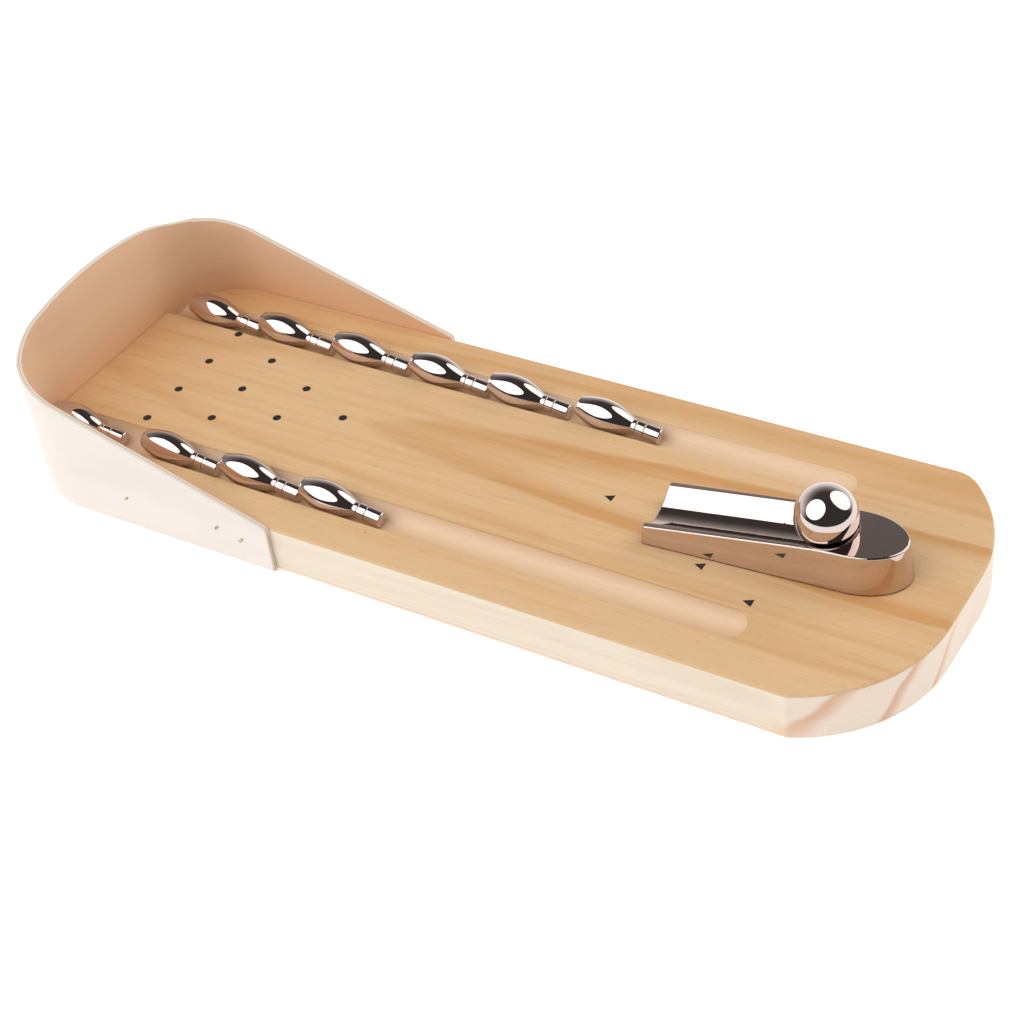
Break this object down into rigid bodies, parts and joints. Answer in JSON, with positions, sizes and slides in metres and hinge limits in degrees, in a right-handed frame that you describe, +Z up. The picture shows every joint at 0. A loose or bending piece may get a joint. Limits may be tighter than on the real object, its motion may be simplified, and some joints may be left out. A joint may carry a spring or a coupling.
{
  "type": "desktop bowling game",
  "caption": "Small tabletop bowling lane of solid wood with two gutters, a bent wooden backstop, loose chromed pins and a chromed ball on a grooved ramp.",
  "frame": {"origin": "middle of the length and width, on the face the board rests on", "axes": "+X along the lane from the pins towards the bowler's end, +Y across the lane, +Z up"},
  "size_m": [0.288, 0.1036, 0.0502],
  "materials": {
    "pine": "varnished",
    "sheet_wood": "satin",
    "brad_steel": "dull",
    "screw_steel": "plated",
    "polished_chrome": "mirror polished"
  },
  "bodies": {
    "board": {"board": "pine", "backstop": "sheet_wood", "brads": "brad_steel", "pivot_washer": "screw_steel"},
    "ramp": {"ramp": "polished_chrome", "pivot_screw": "screw_steel"},
    "ball": {"ball": "polished_chrome"},
    "pin_01": {"pin_01": "polished_chrome"},
    "pin_02": {"pin_02": "polished_chrome"},
    "pin_03": {"pin_03": "polished_chrome"},
    "pin_04": {"pin_04": "polished_chrome"},
    "pin_05": {"pin_05": "polished_chrome"},
    "pin_06": {"pin_06": "polished_chrome"},
    "pin_07": {"pin_07": "polished_chrome"},
    "pin_08": {"pin_08": "polished_chrome"},
    "pin_09": {"pin_09": "polished_chrome"},
    "pin_10": {"pin_10": "polished_chrome"}
  },
  "joints": [
    {"name": "ramp_swivel", "type": "hinge", "parent": "board", "child": "ramp", "pos_m": [0.11557, 0.00144, 0.0155], "axis": [0, 0, 1], "range_deg": [-20, 15]},
    {"name": "ball_roll", "type": "slide", "parent": "ramp", "child": "ball", "axis": [-0.9909, -0.0641, -0.1184], "range_m": [0, 0.046]},
    {"name": "pin_01_lift", "type": "slide", "parent": "board", "child": "pin_01", "axis": [0, 0, 1], "range_m": [0, 0.05]},
    {"name": "pin_02_lift", "type": "slide", "parent": "board", "child": "pin_02", "axis": [0, 0, 1], "range_m": [0, 0.05]},
    {"name": "pin_03_lift", "type": "slide", "parent": "board", "child": "pin_03", "axis": [0, 0, 1], "range_m": [0, 0.05]},
    {"name": "pin_04_lift", "type": "slide", "parent": "board", "child": "pin_04", "axis": [0, 0, 1], "range_m": [0, 0.05]},
    {"name": "pin_05_lift", "type": "slide", "parent": "board", "child": "pin_05", "axis": [0, 0, 1], "range_m": [0, 0.05]},
    {"name": "pin_06_lift", "type": "slide", "parent": "board", "child": "pin_06", "axis": [0, 0, 1], "range_m": [0, 0.05]},
    {"name": "pin_07_lift", "type": "slide", "parent": "board", "child": "pin_07", "axis": [0, 0, 1], "range_m": [0, 0.05]},
    {"name": "pin_08_lift", "type": "slide", "parent": "board", "child": "pin_08", "axis": [0, 0, 1], "range_m": [0, 0.05]},
    {"name": "pin_09_lift", "type": "slide", "parent": "board", "child": "pin_09", "axis": [0, 0, 1], "range_m": [0, 0.05]},
    {"name": "pin_10_lift", "type": "slide", "parent": "board", "child": "pin_10", "axis": [0, 0, 1], "range_m": [0, 0.05]}
  ]
}
